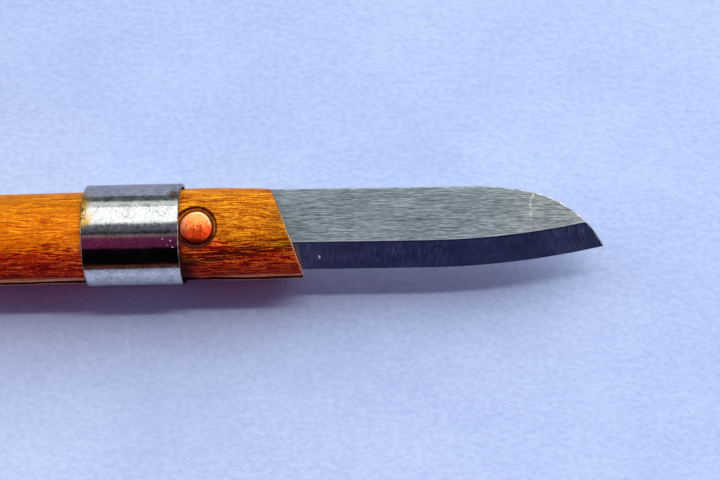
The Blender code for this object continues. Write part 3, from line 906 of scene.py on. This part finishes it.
def blade_height(x, y):
    ground = EDGE_T / 2 + np.maximum(from_edge(x, y), 0) * (BLADE_T - EDGE_T) / 2 / BEVEL_W
    ramp = np.clip((x - BEVEL_HEEL_X + 0.4) / 0.4, 0, 1)
    ground = np.where(ground < BLADE_T / 2, BLADE_T / 2 + (ground - BLADE_T / 2) * ramp, BLADE_T / 2)
    inward = np.maximum(from_spine(x, y), 0)
    ease = BLADE_T / 2 - 0.05 * (1 - np.clip((inward - SPINE_CHAMFER) / (SPINE_EASE - SPINE_CHAMFER), 0, 1))
    chamfer = BLADE_T / 2 - 0.05 - SPINE_CHAMFER + inward
    return np.minimum(np.minimum(ground, chamfer), np.minimum(ease, BLADE_T / 2))


def inside_polygon(px, py, polygon):
    hit = np.zeros(len(px), bool)
    ring = np.array(polygon)
    for (x0, y0), (x1, y1) in zip(ring, np.roll(ring, -1, 0)):
        if y0 == y1:
            continue
        crosses = (y0 > py) != (y1 > py)
        hit ^= crosses & (px < (x1 - x0) * (py - y0) / (y1 - y0) + x0)
    return hit


def blade_mesh():
    outline = blade_outline()
    points, edges = [], []

    def chain(line, closed=False):
        start = len(points)
        points.extend(Vector(p) for p in line)
        edges.extend((start + i, start + i + 1) for i in range(len(line) - 1))
        if closed:
            edges.append((start + len(line) - 1, start))

    chain(outline, closed=True)
    hole = [(BORE_R * math.cos(math.tau * i / 64), BORE_R * math.sin(math.tau * i / 64)) for i in range(64)]
    chain(hole, closed=True)
    bevel = [(BEVEL_HEEL_X + (BELLY_X - BEVEL_HEEL_X) * i / 40, EDGE_Y + BEVEL_W) for i in range(40)]
    for i in range(73):
        a = math.asin((TIP_X + 3.0 - BELLY_X) / BELLY_R) * i / 72
        r = BELLY_R - BEVEL_W
        bevel.append((BELLY_X + r * math.sin(a), EDGE_Y + BELLY_R - r * math.cos(a)))
    chain(bevel)
    for x in (BEVEL_HEEL_X - 0.4, BEVEL_HEEL_X):
        chain([(x, EDGE_Y), (x, EDGE_Y + BEVEL_W)])
    chain([(BEVEL_HEEL_X - 0.4, EDGE_Y + BEVEL_W), (BEVEL_HEEL_X, EDGE_Y + BEVEL_W)])
    for ease in (SPINE_CHAMFER, SPINE_EASE):
        inset = [(HEEL_X + (NOSE_X - HEEL_X) * i / 60, SPINE_Y - ease) for i in range(60)]
        chain(inset + nose_line(ease))
    found = delaunay_2d_cdt(points, edges, [], 0, 1e-5)
    flat = np.array([tuple(v) for v in found[0]])
    tris = np.array([f for f in found[2] if len(f) == 3])
    mid = flat[tris].mean(1)
    keep = inside_polygon(mid[:, 0], mid[:, 1], outline) & (np.hypot(mid[:, 0], mid[:, 1]) > BORE_R * 0.998)
    tris = tris[keep]
    a, b, c = (flat[tris[:, i]] for i in range(3))
    area = (b[:, 0] - a[:, 0]) * (c[:, 1] - a[:, 1]) - (b[:, 1] - a[:, 1]) * (c[:, 0] - a[:, 0])
    tris = tris[np.abs(area) > 1e-7]
    area = area[np.abs(area) > 1e-7]
    tris[area < 0] = tris[area < 0][:, ::-1]
    used = np.unique(tris)
    renum = np.full(len(flat), -1)
    renum[used] = np.arange(len(used))
    flat, tris = flat[used], renum[tris]
    z = blade_height(flat[:, 0], flat[:, 1])
    n = len(flat)
    verts = np.concatenate([np.column_stack([flat, z]), np.column_stack([flat, -z])])
    faces = [tuple(t) for t in tris] + [tuple(t[::-1] + n) for t in tris]
    seen = {}
    for t in tris:
        for i in range(3):
            e = (int(t[i]), int(t[(i + 1) % 3]))
            seen[e] = True
    for s, t in seen:
        if (t, s) not in seen:
            faces.append((s + n, t + n, t, s))
    return verts, faces


blade_verts, blade_faces = blade_mesh()
blade = piece("blade_ground", turned_about_rivet(blade_verts, LEAN), blade_faces, sharp=4.0)
blade.data.materials.append(flat_look())
blade.data.materials.append(bevel_look())
blade.data.materials.append(rim_look())
for face in blade.data.polygons:
    where = turned_about_rivet([np.array(face.center) * 1000 - ROOT], -LEAN)[0]
    if (
        len(face.vertices) == 3
        and where[0] > BEVEL_HEEL_X - 0.4
        and from_edge(where[0], where[1]) < BEVEL_W
    ):
        face.material_index = 1
    if from_spine(where[0], where[1]) < SPINE_EASE and where[0] > HEEL_X + 0.3:
        face.material_index = 2
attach(blade, "blade_body")
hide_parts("blade")

# Ring -------------------------------------------------------------------------------


def ring_profile():
    outer, inner, size = 0.19, 0.16, 6
    corners = [
        (RING_R - outer, RING_X1 - outer, outer, 90),
        (RING_R - outer, RING_X0 + outer, outer, 0),
        (RING_BORE_R + inner, RING_X0 + inner, inner, -90),
        (RING_BORE_R + inner, RING_X1 - inner, inner, -180),
    ]
    line = []
    for r, x, radius, start in corners:
        for i in range(size + 1):
            a = math.radians(start - 90 * i / size)
            line.append((r + radius * math.cos(a), x + radius * math.sin(a)))
    # More rows along the tube, for its slight unevenness
    rows = []
    for (r0, x0), (r1, x1) in zip(line, line[1:] + line[:1]):
        rows.append((r0, x0))
        count = int(abs(x1 - x0) / 0.8)
        if count > 1:
            steps = [0.05 / count] + list(range(1, count)) + [count - 0.05]
            rows += [(r0 + (r1 - r0) * i / count, x0 + (x1 - x0) * i / count) for i in steps]
    return rows


def uneven(verts):
    angle = np.arctan2(verts[:, 1], verts[:, 0])
    wave = value_noise(np.cos(angle) * 2.2, np.sin(angle) * 2.2, verts[:, 2] * 0.12, 11)
    # The cut ends are turned in a little
    inner = np.hypot(verts[:, 0], verts[:, 1]) < (RING_R + RING_BORE_R) / 2
    margin = np.minimum(verts[:, 2] - RING_X0, RING_X1 - verts[:, 2])
    turned_in = 0.16 * ease_in(1.0 - margin / 1.2) * inner
    scale = 1.0 - (0.010 + 0.010 * wave + turned_in) / RING_R
    return verts * np.column_stack([scale, scale, np.ones(len(verts))])


def resting(verts):
    """The loose ring lies against the slot side of the handle, a little askew."""
    middle = (RING_X0 + RING_X1) / 2
    x, y = verts[:, 0] - middle, verts[:, 1]
    verts = verts.copy()
    verts[:, 0] = middle + x * math.cos(RING_SKEW) - y * math.sin(RING_SKEW)
    verts[:, 1] = RING_SHIFT + x * math.sin(RING_SKEW) + y * math.cos(RING_SKEW)
    return verts


ring_verts, ring_faces = lathe(ring_profile(), 224, "x", uneven)
ring = piece("steel_ring", resting(ring_verts), ring_faces, sharp=40.0)
ring.data.materials.append(ring_look())
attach(ring, "ring_body")
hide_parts("lock_ring")

# Rivet, burr, bush and washers --------------------------------------------------------


def peened(verts):
    """Hammer flats over the head and the tail."""
    rng = np.random.default_rng(5)
    verts = verts.copy()
    for side, top, size, dome in ((1, HEAD_Z1, 2.6, 0.070), (-1, -TAIL_Z, 2.1, 0.075)):
        pick = side * verts[:, 2] > (7.75 if side > 0 else 8.2)
        x, y, z = verts[pick, 0], verts[pick, 1], side * verts[pick, 2]
        for _ in range(24):
            r, a = size * math.sqrt(rng.random()), math.tau * rng.random()
            cx, cy = r * math.cos(a), r * math.sin(a)
            level = top - dome * r * r - 0.02 - 0.05 * rng.random()
            plane = level - 2 * dome * (cx * (x - cx) + cy * (y - cy))
            plane = plane + 0.04 * rng.standard_normal() * (x - cx) + 0.04 * rng.standard_normal() * (y - cy)
            z = np.minimum(z, plane)
        z = z - 0.012 * (1 + value_noise(x * 1.9, y * 1.9, 0 * x, 21))
        verts[pick, 2] = side * z
    angle = np.arctan2(verts[:, 1], verts[:, 0])
    out = np.hypot(verts[:, 0], verts[:, 1]) > 2.0
    squash = np.where(out, 1 - 0.012 * (1 + np.sin(3 * angle + 0.6) * 0.6 + np.sin(5 * angle) * 0.4), 1.0)
    head = ease_in((verts[:, 2] - HEAD_Z0 + 0.6) / 0.5)
    verts[:, 0] = verts[:, 0] * squash + HEAD_DX * head
    verts[:, 1] = verts[:, 1] * squash + HEAD_DY * head
    return verts


def rivet_profile():
    line = [(0.0, HEAD_Z1)]
    line += [(r, HEAD_Z1 - 0.07 * r * r) for r in np.linspace(0.15, 2.92, 26)]
    r0, z0 = line[-1]
    wide = (HEAD_R - r0) / (1 - math.cos(math.radians(75)))
    for i in range(1, 21):
        a = math.radians(75 - 3.75 * i)
        line.append((HEAD_R - wide * (1 - math.cos(a)), z0 + 0.75 * (math.sin(a) - math.sin(math.radians(75)))))
    line += [(HEAD_R - 0.03, HEAD_Z0 + 0.25), (HEAD_R - 0.15, HEAD_Z0), (RIVET_R, HEAD_Z0)]
    under = -HEAD_Z0 - BURR_T - 0.1
    line += [(RIVET_R, under), (TAIL_R - 0.1, under), (TAIL_R, under - 0.12), (TAIL_R - 0.05, under - 0.3)]
    line += [(r, TAIL_Z + 0.075 * r * r) for r in np.linspace(TAIL_R - 0.35, 0.22, 12)]
    line.append((0.0, TAIL_Z))
    return line


rivet_copper = copper_look("rivet_copper", (0.93, 0.150, 0.014))
rivet = piece("peened_rivet", *lathe(rivet_profile(), 96, "z", peened), sharp=7.0)
rivet.data.materials.append(rivet_copper)
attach(rivet, "handle_body")
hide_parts("pivot_rivet")


def dented(verts):
    verts = verts.copy()
    low = verts[:, 2] < -HEAD_Z0 - BURR_T + 0.3
    wave = value_noise(verts[:, 0] * 0.9, verts[:, 1] * 0.9, 0 * verts[:, 0], 31)
    verts[low, 2] += 0.03 * (1 + wave[low])
    return verts


burr_low = -HEAD_Z0 - BURR_T
burr_profile = [
    (1.78, -HEAD_Z0),
    (BURR_R - 0.1, -HEAD_Z0),
    (BURR_R, -HEAD_Z0 - 0.1),
    (BURR_R, burr_low + 0.28),
    (BURR_R - 0.1, burr_low + 0.09),
    (BURR_R - 0.3, burr_low),
    (2.9, burr_low),
    (2.5, burr_low),
    (2.1, burr_low),
    (1.78, burr_low),
]
burr = piece("copper_burr", *lathe(burr_profile, 72, "z", dented), sharp=35.0)
burr.data.materials.append(copper_look("burr_copper", (0.88, 0.19, 0.030)))
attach(burr, "handle_body")
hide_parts("rivet_burr")


def refinish(node, look):
    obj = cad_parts[node]
    obj.data.materials.clear()
    obj.data.materials.append(look)


refinish("pivot_bush", turned_look("bush_brass", (0.70, 0.52, 0.20)))
bronze = turned_look("washer_bronze", (0.60, 0.38, 0.16))
refinish("near_tang_washer", bronze)
refinish("far_tang_washer", bronze)

# Floor --------------------------------------------------------------------------------

floor_mesh = bpy.data.meshes.new("floor")
floor_mesh.from_pydata([(-3, -3, 0), (3, -3, 0), (3, 3, 0), (-3, 3, 0)], [], [(0, 1, 2, 3)])
floor = bpy.data.objects.new("floor", floor_mesh)
bpy.context.scene.collection.objects.link(floor)
paper = Look("floor_paper", Roughness=0.9)
paper.shader.inputs["Specular IOR Level"].default_value = 0.1
at = paper.place()
fibre = paper.noise(at, (0.75, 1.1, 1.1), 3.0, 0.55)
blotch = paper.noise(at, (0.03, 0.05, 0.05), 2.0)
tint = paper.ramp(
    paper.add(paper.mul(fibre, 0.6), paper.mul(blotch, 0.4)),
    [(0.36, (0.412, 0.504, 0.758)), (0.64, (0.502, 0.603, 0.849))],
)
px, py, pz = paper.split(at)
# Painted light on the floor: lighter towards the near left, darker towards the far left
near = paper.mul(paper.step(py, 45.0, -55.0), paper.step(px, 60.0, -10.0))
far = paper.mul(paper.step(py, -5.0, 45.0), paper.step(px, 60.0, -10.0))
tint = paper.mix(paper.mul(near, 0.6), tint, (1.10, 1.09, 1.05), "MULTIPLY")
tint = paper.mix(paper.mul(far, 0.6), tint, (0.93, 0.94, 0.96), "MULTIPLY")
paper.feed("Base Color", tint)
paper.feed("Normal", paper.bump(fibre, 0.35, 0.25))
floor_mesh.materials.append(paper.material)

# Light ----------------------------------------------------------------------------------



def lamp(name, kind, way, **values):
    """A lamp that shines along a direction. Reflections show the bands of the studio instead of it."""
    data = bpy.data.lights.new(name, kind)
    for key, value in values.items():
        setattr(data, key, value)
    obj = bpy.data.objects.new(name, data)
    obj.rotation_mode = "QUATERNION"
    obj.rotation_quaternion = Vector(way).to_track_quat("-Z", "Y")
    obj.visible_glossy = False
    bpy.context.scene.collection.objects.link(obj)
    return obj


# A long, narrow tube light over the far side, a low window behind it and a dim warm fill in front
key = lamp(
    "key", "AREA", (0.0, -0.36, -1.0), energy=4.2, shape="RECTANGLE", size=1.0, size_y=0.05, color=(1.0, 0.985, 0.96)
)
key.location = (0.36, 0.41, 1.13)
lamp("window", "SUN", (-0.55, -0.80, -0.56), energy=0.80, angle=math.radians(34.0), color=(0.86, 0.97, 1.0))
fill = lamp(
    "fill", "AREA", (0.25, 1.0, -0.30), energy=0.0052, shape="RECTANGLE", size=0.12, size_y=0.05, color=(1.0, 0.06, 0.30)
)
fill.location = (-0.045, -0.105, 0.040)

world = bpy.data.worlds.new("studio")
bpy.context.scene.world = world
world.use_nodes = True
tree = world.node_tree
tree.nodes.clear()


def world_node(kind, **props):
    made = tree.nodes.new("ShaderNode" + kind)
    for key, value in props.items():
        setattr(made, key, value)
    return made


def studio_bands(stops, angle):
    """Colours by the angle from straight up, positive to the far side, in degrees."""
    made = world_node("ValToRGB")
    tree.links.new(angle, made.inputs[0])
    bar = made.color_ramp
    while len(bar.elements) < len(stops):
        bar.elements.new(0.5)
    for element, (degrees, colour) in zip(bar.elements, stops):
        element.position = (degrees + 180.0) / 360.0
        element.color = (*colour, 1.0)
    return made.outputs[0]


direction = world_node("TexCoord").outputs["Generated"]
parts = world_node("SeparateXYZ")
tree.links.new(direction, parts.inputs[0])
turn = world_node("Math", operation="ARCTAN2")
tree.links.new(parts.outputs[1], turn.inputs[0])
tree.links.new(parts.outputs[2], turn.inputs[1])
span = world_node("MapRange")
tree.links.new(turn.outputs[0], span.inputs["Value"])
span.inputs["From Min"].default_value = -math.pi
span.inputs["From Max"].default_value = math.pi

PALE = (0.40, 0.44, 0.60)
BLACK = (0.002, 0.002, 0.003)
far_side = [
    (15, (0.28, 0.29, 0.33)),
    (21, (2.45, 2.50, 2.50)),
    (57, (2.45, 2.50, 2.50)),
    (58.5, (0.70, 0.74, 0.74)),
    (59.5, (0.70, 0.74, 0.74)),
    (61, (1.40, 1.46, 1.42)),
    (71, (1.40, 1.46, 1.42)),
    (74, (0.18, 0.215, 0.20)),
    (90, (0.18, 0.215, 0.20)),
    (93, PALE),
    (179, PALE),
]
near_ground = [
    (-179, PALE),
    (-97, PALE),
    (-94, (0.150, 0.040, 0.024)),
    (-81, (0.150, 0.040, 0.024)),
    (-78, BLACK),
    (-39, BLACK),
]
left = studio_bands(
    near_ground
    + [
        (-35, (0.236, 0.028, 0.123)),
        (-15, (0.236, 0.032, 0.125)),
        (-11, (0.45, 0.276, 0.265)),
        (-8, (0.45, 0.276, 0.265)),
        (-6, (0.040, 0.040, 0.075)),
        (-2, (0.055, 0.058, 0.085)),
        (3, (0.19, 0.195, 0.235)),
    ]
    + far_side,
    span.outputs[0],
)
right = studio_bands(
    near_ground
    + [
        (-35, (0.028, 0.034, 0.115)),
        (-4, (0.032, 0.038, 0.120)),
        (0, (0.17, 0.18, 0.21)),
    ]
    + far_side,
    span.outputs[0],
)
side = world_node("MapRange", interpolation_type="SMOOTHSTEP")
tree.links.new(parts.outputs[0], side.inputs["Value"])
side.inputs["From Min"].default_value = -0.135
side.inputs["From Max"].default_value = -0.065
both = world_node("Mix", data_type="RGBA")
tree.links.new(side.outputs[0], both.inputs[0])
tree.links.new(left, both.inputs[6])
tree.links.new(right, both.inputs[7])
# The ends of the tube light, seen in what leans to the right or to the left
glow = world_node("MapRange", interpolation_type="SMOOTHSTEP")
tree.links.new(parts.outputs[0], glow.inputs["Value"])
glow.inputs["From Min"].default_value = 0.30
glow.inputs["From Max"].default_value = 0.42
high = world_node("MapRange", interpolation_type="SMOOTHSTEP")
tree.links.new(parts.outputs[2], high.inputs["Value"])
high.inputs["From Min"].default_value = 0.30
high.inputs["From Max"].default_value = 0.45
glow_left = world_node("MapRange", interpolation_type="SMOOTHSTEP")
tree.links.new(parts.outputs[0], glow_left.inputs["Value"])
glow_left.inputs["From Min"].default_value = -0.60
glow_left.inputs["From Max"].default_value = -0.40
glow_left.inputs["To Min"].default_value = 0.55
glow_left.inputs["To Max"].default_value = 0.0
ends = world_node("Math", operation="MAXIMUM")
tree.links.new(glow.outputs[0], ends.inputs[0])
tree.links.new(glow_left.outputs[0], ends.inputs[1])
lamp_end = world_node("Math", operation="MULTIPLY")
tree.links.new(ends.outputs[0], lamp_end.inputs[0])
tree.links.new(high.outputs[0], lamp_end.inputs[1])
shown = world_node("Mix", data_type="RGBA")
tree.links.new(lamp_end.outputs[0], shown.inputs[0])
tree.links.new(both.outputs[2], shown.inputs[6])
shown.inputs[7].default_value = (2.3, 2.3, 2.3, 1.0)
soft = studio_bands(
    [
        (-179, PALE),
        (-97, PALE),
        (-94, (0.122, 0.014, 0.050)),
        (-26, (0.138, 0.034, 0.088)),
        (-14, (0.15, 0.130, 0.235)),
        (16, (0.175, 0.205, 0.31)),
        (21, (2.20, 2.30, 2.34)),
        (57, (2.20, 2.30, 2.34)),
        (62, (1.60, 1.66, 1.70)),
        (74, (1.60, 1.66, 1.70)),
        (82, (0.40, 0.44, 0.46)),
        (90, (0.40, 0.44, 0.46)),
        (93, PALE),
        (179, PALE),
    ],
    span.outputs[0],
)
reflected = world_node("Background")
tree.links.new(shown.outputs[2], reflected.inputs["Color"])
ambient = world_node("Background")
tree.links.new(soft, ambient.inputs["Color"])
backdrop = world_node("Background")
backdrop.inputs["Color"].default_value = (0.52, 0.61, 0.88, 1.0)
path = world_node("LightPath")
gloss = world_node("MixShader")
tree.links.new(path.outputs["Is Glossy Ray"], gloss.inputs[0])
tree.links.new(ambient.outputs[0], gloss.inputs[1])
tree.links.new(reflected.outputs[0], gloss.inputs[2])
choose = world_node("MixShader")
tree.links.new(path.outputs["Is Camera Ray"], choose.inputs[0])
tree.links.new(gloss.outputs[0], choose.inputs[1])
tree.links.new(backdrop.outputs[0], choose.inputs[2])
out = world_node("OutputWorld")
tree.links.new(choose.outputs[0], out.inputs["Surface"])

bpy.context.scene.view_settings.view_transform = "Standard"
bpy.context.scene.view_settings.look = "None"

# Camera -----------------------------------------------------------------------------------

TARGET = np.array([31.675, -1.901, 0.0])
DISTANCE = 304.744
tilt, roll, yaw = (math.radians(a) for a in (9.745, -1.601, 0.2106))
right_axis = np.array([1.0, 0.0, 0.0])
up_axis = np.array([0.0, math.cos(tilt), math.sin(tilt)])
back_axis = np.array([0.0, -math.sin(tilt), math.cos(tilt)])
right_axis, back_axis = (
    math.cos(yaw) * right_axis - math.sin(yaw) * back_axis,
    math.sin(yaw) * right_axis + math.cos(yaw) * back_axis,
)
right_axis, up_axis = (
    math.cos(roll) * right_axis + math.sin(roll) * up_axis,
    -math.sin(roll) * right_axis + math.cos(roll) * up_axis,
)
place = (ROOT + TARGET + DISTANCE * back_axis) * 0.001
camera_data = bpy.data.cameras.new("camera")
camera_data.sensor_fit = "HORIZONTAL"
camera_data.sensor_width = 36.0
camera_data.lens = 76.23
camera_data.clip_start = 0.01
camera_data.clip_end = 20.0
camera = bpy.data.objects.new("camera", camera_data)
bpy.context.scene.collection.objects.link(camera)
camera.matrix_world = Matrix(
    [[*row, place[i]] for i, row in enumerate(np.column_stack([right_axis, up_axis, back_axis]))]
    + [[0.0, 0.0, 0.0, 1.0]]
)
bpy.context.scene.camera = camera
